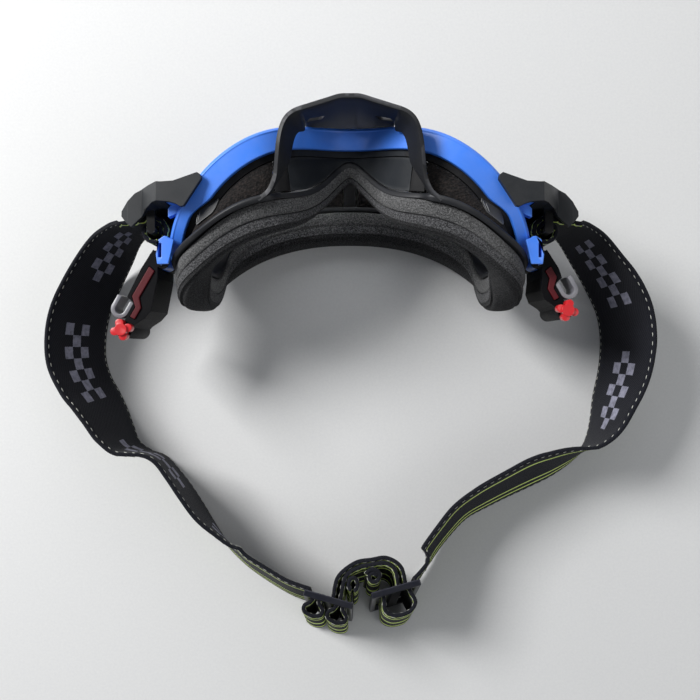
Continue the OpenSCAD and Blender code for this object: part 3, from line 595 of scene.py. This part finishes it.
lens_rows = [[lens_point(0.97 * LENS_TEMPLE * u, v, -LENS_T / 2) for v in steps(0, 1, 10)]
             for u in steps(-1, 1, 120)]
settle("lens_sheet", shaped_skin(lens_rows, tube=False), glass, "frame", ["lens"],
       modifiers=[("SOLIDIFY", {"thickness": LENS_T * MM, "offset": 0})])

# Black inner frame: hoop behind the lens, flange that carries the foam with its raised rim, ribs and nose panel

# From the foam's back to the flange, the flange's thickness, and from there to the wall
FLANGE_AT, FLANGE_T = 1.5, 2.5
WALL_AT = FLANGE_AT + FLANGE_T + 0.6


def hoop_row(t):
    back = back_here(t) + 3
    outline = [(2, -back), (2, -0.95), (8, -0.95), (8, -2.9), (5, -2.9), (5, -back)]
    return [front_at(t, q, w) for q, w in filleted(outline, 0.5, 2)]


def rim_here(t):
    """How far the flange's rim stands out, on the cheeks beside the nose guard."""
    x = abs(face_line(t).x)
    return eased((x - 36) / 5) * eased(sin(radians(t)) * 2.6) if on_chin_side(t) else 0.0


def flange_row(t):
    f, w, rise = foam_depth(t) + FLANGE_AT, foam_half(t), rim_here(t)
    outline = [(f, -w), (f, w - 0.1), (f - 0.6 * rise, w + 0.1 + 3.6 * rise),
               (f + 0.6 + 1.1 * rise, w + 0.15 + 4.4 * rise), (f + 2.4 + 0.7 * rise, w - 0.8 + 4.2 * rise),
               (f + FLANGE_T, w - 1.4), (f + FLANGE_T, -w)]
    return [behind(t, s, o) for s, o in filleted(outline, 0.7, 2)]


def wall_row(t):
    """The wall from the flange to the hoop: outer back, outer front, inner front, inner back."""
    back = behind(t, foam_depth(t) + WALL_AT, foam_half(t) - 1.5)
    front = front_at(t, 2.3, -back_here(t) - 3.3)
    inset = 2.4 * ring_out(t)
    wall = (back - front).normalized()
    ahead = (front_at(t, 2, 1) - front_at(t, 2, 0)).normalized()
    slip = max(0.0, -inset.dot(ahead)) / max(0.3, -wall.dot(ahead))
    return back, front, front - inset + slip * wall, back - inset


def wall_point(t, u, depth):
    """A place on the wall, u from the foam to the lens, raised by depth."""
    back, front = wall_row(t)[:2]
    return back.lerp(front, u) + depth * ring_out(t)


def panel_rows(t0, t1, count, crown):
    """A panel on the wall from t0 to t1, raised in the middle by crown."""
    rows = []
    for t in steps(t0, t1, count):
        a, b, c, d = wall_row(t)
        side = eased((t - t0) / 3) * eased((t1 - t) / 3)
        top = [a.lerp(b, u) + crown * side * sin(pi * u) ** 0.5 * ring_out(t) for u in steps(0.01, 0.99, 8)]
        rows.append(top + [c.lerp(d, u) for u in steps(0.01, 0.99, 3)])
    return rows


settle("hoop", shaped_skin([hoop_row(t) for t in RING], ring=True), hoop_black, "frame", ["inner_frame"])
settle("flange", shaped_skin([flange_row(t) for t in RING], ring=True), rim_black, "frame", ["face_flange"])
# The ribs' deep black is partly painted shade inside the goggles
polished("frame_ribs", deep_black, "frame", 0.3)
settle("nose_panel", shaped_skin(panel_rows(66.55, 113.45, 60, 0.3)), nose_grey, "frame", ["nose_plate"])
for name, t0, t1 in (("cheek_right", 26.6, 61.5), ("cheek_left", 118.5, 153.4),
                     ("brow_left", 218.6, 267.4), ("brow_right", 272.6, 321.4)):
    piece = settle("vent_" + name, shaped_skin(panel_rows(t0, t1, 40, 0.9)), vent_foam, "frame",
                   ["vent_foam_" + name], 80)

# Face foam in three crowned layers; the face layer's fleece is painted darker as the shade inside the foam ring


def foam_rows(near, far, near_w, far_w, crown, round_by, edge, over):
    """A layer from near to far behind the face; over carries it across the flange's edge at the nose."""
    rows = []
    for t in RING:
        k, w = foam_depth(t) / FOAM_DEEP, foam_half(t)
        n, f, wn, wf = near * k, far * k + over * nose_share(t), w * near_w, w * far_w
        middle, full = (n + f) / 2, 2.4 * abs(corner(t)[0]) ** 4
        half = [(n, 0.55 * wn), (n + 0.25 * round_by, wn - 0.35 * round_by), (n + round_by, wn),
                (middle, (wn + wf) / 2 + crown), (f - 0.6 * edge, wf), (f - 0.06, wf - 0.6 * edge),
                (f, 0.5 * wf)]
        outer = [(s, o + full * o / w) for s, o in half]
        outline = [(n - 0.12 * round_by, 0)] + outer + [(f, 0)] + [(s, -o) for s, o in reversed(half)]
        rows.append([behind(t, s, o) for s, o in smooth_loop(outline, 2)])
    return rows


for name, layer, material, node, slot in (
        ("foam_face", (0.7, 4.9, 0.8, 0.99, 0.15, 2.6, 0.1, 0), fleece, "foam_fleece", "fleece"),
        ("foam_core", (4.8, 9.7, 0.99, 1.03, 0.3, 0.1, 0.15, 0), foam_dark, "foam_middle", "foam_dark"),
        ("foam_backing", (9.75, 17.6, 1.08, 1.06, 0.6, 1.5, 1.2, 2.2), foam_grey, "foam_base", "foam_grey")):
    piece = settle(name, shaped_skin(foam_rows(*layer), ring=True), material, "frame", [node], 80)

# Nose guard: a bent wall with two slots

GUARD_FRONT, GUARD_TOP, GUARD_LOW, GUARD_STEPS = FRONT_Y + FRONT_DEPTH + 9, 105.0, 47, 34
guard_half = [(5, -0.2), (11, -2), (20, -4.8), (26, -6.8), (30, -10), (32.5, -15), (34, -22), (35, -30),
              (36, -37), (38.8, -43), (43.5, -47)]
guard_path = curve([(x, GUARD_FRONT + y, 0) for x, y in
                    [(-x, y) for x, y in reversed(guard_half)] + [(0, 0)] + guard_half], 8)


def guard_lean(p):
    """How far the lower edge of the wall leans in, where it crosses over the frame."""
    return 4.4 * eased((abs(p.x) - 22.6) / 2.4) * (1 - eased((GUARD_FRONT - 27 - p.y) / 13))


def guard_heights(p):
    """The heights of the wall's lower and upper edge: legs clear the frame, and their tops fall to the back."""
    x = abs(p.x)
    over_frame = 99.5 - notch(degrees(asin((x / FRONT_HALF_W) ** WRAP_POWER)))
    leg = over_frame + (95 - over_frame) * eased((x - 34) / 2)
    low = GUARD_LOW + (leg - GUARD_LOW) * eased((x - 20) / 3.5)
    return low, GUARD_TOP - 6 * eased((GUARD_FRONT - 18 - p.y) / 26)


def guard_row(i):
    """The wall's points from its lower to its upper edge, which flares a little."""
    p, n, row = guard_path[i], left_of(guard_path, i), []
    low, top = guard_heights(p)
    for k in range(GUARD_STEPS + 1):
        z = low + (top - low) * k / GUARD_STEPS
        flare = 0.9 * max(0.0, (z - top + 4) / 4) ** 2
        inwards = 1.15 - flare * 0.4 + guard_lean(p) * (1 - k / GUARD_STEPS)
        row.append(raked(p, z, GUARD_TOP) - inwards * n)
    return row


def cut_slot(bm, centre, along, up, half_w, half_h):
    """Cuts a slot through a single wall, along and up being its own directions."""
    reach = 9
    for way, half in ((up, half_h), (-up, half_h), (along, half_w), (-along, half_w)):
        near = [f for f in bm.faces if (f.calc_center_median() / MM - centre).length < reach]
        geom = near + list({e for f in near for e in f.edges}) + list({v for f in near for v in f.verts})
        bmesh.ops.bisect_plane(bm, geom=geom, plane_co=(centre + half * way) * MM, plane_no=way, dist=1e-7)
    inside_slot = []
    for face in bm.faces:
        d = face.calc_center_median() / MM - centre
        if abs(d.dot(along)) < half_w and abs(d.dot(up)) < half_h and d.length < reach:
            inside_slot.append(face)
    bmesh.ops.delete(bm, geom=inside_slot, context="FACES")


bm = shaped_skin([guard_row(i) for i in range(len(guard_path))], tube=False)
for side in (-1, 1):
    wall_normal = Vector((0.31 * side, 1, 0.04)).normalized()
    along = Vector((side, -0.31, 0.5)).normalized()
    up = wall_normal.cross(along).normalized()
    cut_slot(bm, Vector((17 * side, GUARD_FRONT - 4.3, 84)), along, up, 4.2, 2.4)
settle("guard_shell", bm, rim_black, "nose_guard", ["nose_guard"], 50,
       [("SOLIDIFY", {"thickness": 2.0 * MM, "offset": 0}),
        ("BEVEL", {"width": 0.6 * MM, "segments": 3, "limit_method": "ANGLE", "angle_limit": radians(50)})])

# Strap: webbing bands with stitched edges

# The webbing's section, as shares of its width up and of half its thickness out, and its v round the section
LEVELS = (0.01, 0.1, 0.3, 0.5, 0.7, 0.9, 0.99)
WEB = ([(f, 1) for f in LEVELS] + [(0.9975, 0.6), (1, 0), (0.9975, -0.6)]
       + [(f, -1) for f in reversed(LEVELS)] + [(0.0025, -0.6), (0, 0), (0.0025, 0.6)])
WEB_V = [STRAP_W * MM * f if o > 0 or f == 1 else INNER_V + STRAP_W * MM * (1 - f) for f, o in WEB[:17]]
WEB_V += [0.1045, 0.105, 0.1055, 0.106]
# Stitches: shares of the width where they run, and in mm their pitch, length, width and height
STITCH_AT, STITCH_PITCH, STITCH_SIZE = (0.968, 0.032), 4.4, (2.6, 0.55, 0.5)


def band_rows(low, high):
    rows = []
    for i in range(len(low)):
        j, k = min(len(low) - 1, i + 1), max(0, i - 1)
        n = (low[j] + high[j] - low[k] - high[k]).cross(high[i] - low[i]).normalized() * STRAP_T / 2
        rows.append([low[i].lerp(high[i], f) + o * n for f, o in WEB])
    return rows


def run_lengths(low, high):
    lengths = [0.0]
    for i in range(1, len(low)):
        lengths.append(lengths[-1] + ((low[i] + high[i]) / 2 - (low[i - 1] + high[i - 1]) / 2).length * MM)
    return lengths


def webbing_band(name, low, high, material, body, stands_for=()):
    bm = shaped_skin(band_rows(low, high), run=(run_lengths(low, high), WEB_V))
    return settle(name, bm, material, body, stands_for, 50)


def stitch_line(name, low, high, body):
    """Short raised stitches along both faces of a band, near its edges."""
    bm = bmesh.new()
    travelled, due = 0.0, STITCH_PITCH / 2
    for i in range(1, len(low)):
        middle, last = (low[i] + high[i]) / 2, (low[i - 1] + high[i - 1]) / 2
        step = (middle - last).length
        while travelled + step > due:
            share = (due - travelled) / step
            a, b = low[i - 1].lerp(low[i], share), high[i - 1].lerp(high[i], share)
            along, up = (middle - last).normalized(), (b - a).normalized()
            out = along.cross(up).normalized()
            turned = Matrix((along, up, out)).transposed().to_4x4() @ Matrix.Diagonal((*STITCH_SIZE, 1))
            for height in STITCH_AT:
                for face in (1, -1):
                    centre = (a.lerp(b, height) + out * face * (STRAP_T / 2 + 0.02)) * MM
                    bmesh.ops.create_icosphere(bm, subdivisions=1, radius=0.5 * MM,
                                               matrix=Matrix.Translation(centre) @ turned)
            due += STITCH_PITCH
        travelled += step
    return settle(name, bm, thread, body, (), 80)


# Where the runs start to turn towards the sliders' lean, in y, and over what length
TURN_Y, TURN_OVER = -112.0, 24.0


def run_edges(stations, side):
    """The low and high edges of a run, from its stations x, y, height and lean."""
    path = curve([(x, y, 0) for x, y, z, lean in stations], 8)
    rest = curve([(z, lean, 0) for x, y, z, lean in stations], 8)
    low, high = [], []
    for i, (p, q) in enumerate(zip(path, rest)):
        w = eased((TURN_Y - p.y) / TURN_OVER)
        n = ((1 - w) * side * left_of(path, i) + w * Vector((0, -1, 0))).normalized()
        lean = radians(q.y)
        z = max(0, q.x) + abs(sin(lean))
        out = STRAP_W * sin(lean)
        low.append(Vector((p.x, p.y + LOOP_Y, z)))
        high.append(Vector((p.x + n.x * out, p.y + LOOP_Y + n.y * out, z + STRAP_W * cos(lean))))
    return low, high


TILT = radians(26)
# The runs end at this height, and the bands at the back stand with their middle line at this one
RUN_END_Z = 2.6
REAR_Z = RUN_END_Z + sin(TILT)
LEFT_SLIDER, RIGHT_SLIDER, SLIDER_TURN = (-11.5, -155.5), (24.5, -150.0), radians(16)
# From a slider's middle to its slots, and from its line to the ends of the bands in front of it
SLOT_U, END_V = 6.6, 2.15


def by_slider(slider, turn, u, v):
    """A point in plan by a slider, u along it and v in front of it."""
    c, s = cos(turn), sin(turn)
    return slider[0] + u * c - v * s, slider[1] + u * s + v * c


def by_left(u, v):
    return by_slider(LEFT_SLIDER, -SLIDER_TURN, u, v)


def by_right(u, v):
    return by_slider(RIGHT_SLIDER, SLIDER_TURN, u, v)


left_run = [
    (-116.2, 63.3, 23.4, 1), (-121, 60, 17, 5), (-127.5, 52.5, 7, 12), (-134.7, 41.3, 1, 16),
    (-140.7, 28.7, 0, 18), (-144.3, 18, 0, 19.5), (-146, 7, 0, 20), (-146, -5, 0, 19), (-143, -16, 0, 16),
    (-138.3, -24.6, 0, 14),
    (-133.5, -35, 0, 11), (-129.5, -46, 0, 7), (-126, -55, 0, 0), (-118.5, -60.5, 0, -6), (-110, -64, 0, -8),
    (-102.4, -72, 0, -7), (-95, -81.5, 0, -6), (-87.5, -93, 0, -7), (-81, -104, 0, -12), (-73, -116, 0, -18),
    (-62, -127, 0.6, -23), (-50, -135.5, 1.8, -26), (*by_left(-25, 4.2), RUN_END_Z, -26),
    (*by_left(-11, 3.2), RUN_END_Z, -26)]
right_run = [
    (116.2, 63.3, 23.4, 1), (121, 60.5, 17, 4), (128, 54, 8, 9), (136, 44, 2, 12), (142, 34, 0, 15),
    (147.5, 21.5, 0, 16), (149.7, 9, 0, 16), (149.7, -2, 0, 15), (148.3, -14, 0, 13), (145.5, -27.5, 0, 9),
    (144, -41, 0, 2), (142, -51, 0, -6), (138, -59.5, 0, -14), (130, -67.5, 0, -22), (119, -75, 0, -27),
    (107, -81, 0, -29), (94, -87, 0, -28), (80, -94, 0, -27), (70, -99.5, 0, -25), (62, -107, 0.3, -23),
    (53.5, -117, 1, -22), (46.5, -127, 2, -23), (38, -139, RUN_END_Z, -25),
    (*by_right(11, 3.2), RUN_END_Z, -26)]
for side, stations, word in ((-1, left_run, "left"), (1, right_run, "right")):
    low, high = run_edges(stations, side)
    if side > 0:
        low, high = low[::-1], high[::-1]
    band = webbing_band("strap_run_" + word, low, high, marked_strap, None, ["strap_" + word])
    lines = stitch_line("strap_stitches_" + word, low, high, None)
    for piece in (band, lines):
        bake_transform(piece)


def rear_bend(name, points, count, nodes_for):
    """A band at the back of the loop, through points in plan and leaning forwards."""
    lean = Vector((0, STRAP_W * sin(TILT), STRAP_W * cos(TILT)))
    low = [Vector((p.x, p.y + LOOP_Y, REAR_Z)) for p in curve([(x, y, 0) for x, y in points], count)]
    high = [p + lean for p in low]
    webbing_band(name, low, high, loop_strap, "frame", nodes_for)
    stitch_line(name + "_stitches", low, high, "frame")


def round_about(centre, half_w, half_d, a):
    a = radians(a)
    return centre[0] + half_w * cos(a), centre[1] + half_d * sin(a)


def tail_turn(a):
    """The place at an angle along the rolled tail, which grows with each turn."""
    r = 1.2 + 2.1 * a / 360
    return round_about((12.6, -142.75), r, r, a)


rear_bend("arch_outer", [by_left(2, END_V), (-6.4, -143), (2.7, -135.5), (11.7, -133.7), (19.7, -132.8),
                         (27.1, -137.4), by_right(6, END_V)], 8, ["strap_arch"])
rear_bend("arch_inner", [by_left(6, END_V), (-2.4, -143), (4, -138.2), (11.7, -136.3), (19, -135.6), (24, -139),
                         by_right(2, END_V)], 8, [])
rear_bend("tail_fold", [round_about((1.65, -147), 2.4, 3.6, a) for a in range(-80, 250, 40)], 4,
          ["strap_tails"])
rear_bend("tail_roll", [tail_turn(a) for a in range(0, 540, 40)], 4, [])
small_loop = ((-1.6, 1), (-2.2, -3), (-5, -6), (-4.4, -9), (0, -10.4), (4.4, -9), (5, -6), (2.2, -3), (1.6, 1))
large_loop = ((-SLOT_U, 1), (-7.6, -4), (-8.4, -9), (-5, -12.6), (0, -13.6), (5, -12.6), (8.4, -9), (7.6, -4),
              (SLOT_U, 1))
for word, slot_u in (("a", -SLOT_U), ("b", SLOT_U)):
    rear_bend("loop_left_" + word, [by_left(slot_u + u, v) for u, v in small_loop], 6, ["slider_loops_left"])
rear_bend("loop_right", [by_right(u, v) for u, v in large_loop], 6, ["slider_loop_right"])
for word in ("left", "right"):
    polished("slider_" + word, slider_black, "frame", 0.7, 3)

# Outriggers with the strap's rolled ends, and the arms behind the temples

root = raked(front_point(53.5, 2.5), 0)
BAR = Vector((root.x + 21.5, root.y - 20, 0))

# The outriggers are satin charcoal; on the lugs of the strap's bar they are duller, and painted near black there
# as painted shade
charcoal, sheet, shader = finish("outrigger_charcoal")
spot = sheet.split(sheet.place())
from_middle, lug_x, lug_y = sheet.math("ABSOLUTE", spot["X"]), BAR.x * MM, BAR.y * MM
lug_painted_shade_and_dull = sheet.math("MULTIPLY", sheet.band(from_middle, lug_x - 0.0027, lug_x + 0.0027, 0.0004),
                    sheet.band(spot["Y"], lug_y - 0.003, lug_y + 0.0096, 0.0006))
# Near black on the lugs is painted shade; the higher roughness there is their duller surface
mould(sheet, shader, sheet.mix(lug_painted_shade_and_dull, (0.018, 0.02, 0.023), (0.002, 0.002, 0.002)), (0.2, 0.2, 0.21),
      sheet.math("MULTIPLY_ADD", lug_painted_shade_and_dull, 0.3, 0.5), grain=2400.0, bump=0.3, wear=0.5, dust=0.02, gloss=0.3)

# The rolled end in plan from the bar: turns round it, from the inside out, and then the way to the strap run
ROLL_TURNS, ROLL_IN, ROLL_PITCH, ROLL_END, ROLL_STEPS = 1.4, 3.5, 2.4, 62, 64
ROLL_Z = 23.3
roll = []
for i in range(ROLL_STEPS + 1):
    a = radians(ROLL_END + 360 * ROLL_TURNS * (1 - i / ROLL_STEPS))
    r = ROLL_IN + ROLL_PITCH * ROLL_TURNS * i / ROLL_STEPS
    roll.append((r * cos(a), r * sin(a)))
roll += [(9, 4.4), (13, 4.3), (17, 3.7), (18.1, 3.2)]

for side, word in ((-1, "left"), (1, "right")):
    polished("outrigger_" + word, charcoal, "outrigger_" + word, 0.8, 3)
    polished("outrigger_bracket_" + word, blue, "frame", 0.4)
    polished("outrigger_pin_" + word, steel, "frame", 0.3)
    low = [Vector((side * (BAR.x + x), BAR.y + y, ROLL_Z)) for x, y in roll]
    if side > 0:
        low = low[::-1]
    high = [p + Vector((0, 0, STRAP_W)) for p in low]
    webbing_band("rolled_end_" + word, low, high, rolled_strap, "outrigger_" + word, ["strap_end_" + word])
    stitch_line("rolled_stitches_" + word, low, high, "outrigger_" + word)
    polished("side_arm_" + word, arm_black, "side_arm_" + word, 0.4)
    polished("hook_clip_" + word, hook_grey, "side_arm_" + word, 0.5)
    # The liner strip's dark red is painted shade
    polished("liner_strip_" + word, dark_red, "side_arm_" + word, 0.3)
    polished("red_knob_" + word, red, "knob_" + word, 0.6)
    polished("arm_bracket_" + word, blue, "frame", 0.4)
    polished("arm_pin_" + word, steel, "frame", 0.3)


def tab_block(t0, t1, u0, u1, low, high, count):
    """A block with rounded ends on the cheek's wall, from t0 to t1 round the frame and u0 to u1 across."""
    rows, middle = [], (u0 + u1) / 2
    for side in steps(-1, 1, count):
        t, half = (t0 + t1) / 2 + side * (t1 - t0) / 2, (u1 - u0) / 2 * (1 - 0.985 * side ** 8) ** 0.25
        outline = [(middle - half, low), (middle - half, high), (middle + half, high), (middle + half, low)]
        rows.append([wall_point(t, u, depth) for u, depth in filleted(outline, 0.04, 1)])
    return shaped_skin(rows)


# The side tabs, each with two thin pale edges on it
for word, t0, t1, edges in (("left", 138.6, 145.4, (144.3, 145.0)), ("right", 34.6, 41.4, (39.6, 40.6))):
    settle("side_tab_" + word, tab_block(t0, t1, 0.5, 1.3, -0.6, 2.2, 14), tab_grey, "frame",
           ["side_tabs"] if word == "left" else [])
    for i, t in enumerate(edges):
        settle("side_tab_%s_edge_%d" % (word, i + 1), tab_block(t, t + 0.28, 0.66, 1.16, 1.9, 2.5, 2),
               pale_edge, "frame", [])

# Floor, backdrop and soft studio light


def lamp(name, place, aim_z, power, size):
    """A square lamp aimed at a height over the middle of the goggles."""
    light = bpy.data.lights.new(name, "AREA")
    light.energy, light.size = power, size
    holder = bpy.data.objects.new(name, light)
    holder.location = place
    holder.rotation_euler = (Vector((0, 0, aim_z)) - Vector(place)).to_track_quat("-Z", "Y").to_euler()
    scene.collection.objects.link(holder)


lamp("key", (-0.95, 0.6, 0.95), 0.03, 26.0, 0.5)
lamp("fill", (0.9, -0.3, 1.0), 0.03, 2.8, 0.9)
lamp("front", (0.1, 1.1, 0.5), 0.05, 3.0, 0.8)

pale, sheet, shader = finish("pale_floor")
speckle = sheet.noise(700.0, 3.0, 0.6)
sheet.fill(shader, {"Base Color": sheet.mix(speckle, (0.62, 0.62, 0.62), (0.7, 0.7, 0.69)), "Roughness": 0.9})
bm = bmesh.new()
bmesh.ops.create_grid(bm, x_segments=1, y_segments=1, size=3.0)
floor = settle("floor", bm, pale, None)
floor.data.transform(Matrix.Translation((0, 0, -0.0002)))

world = bpy.data.worlds.new("studio")
scene.world = world
world.use_nodes = True
world.node_tree.nodes["Background"].inputs["Color"].default_value = (0.86, 0.9, 0.96, 1)
world.node_tree.nodes["Background"].inputs["Strength"].default_value = 0.26
scene.view_settings.view_transform = "Standard"
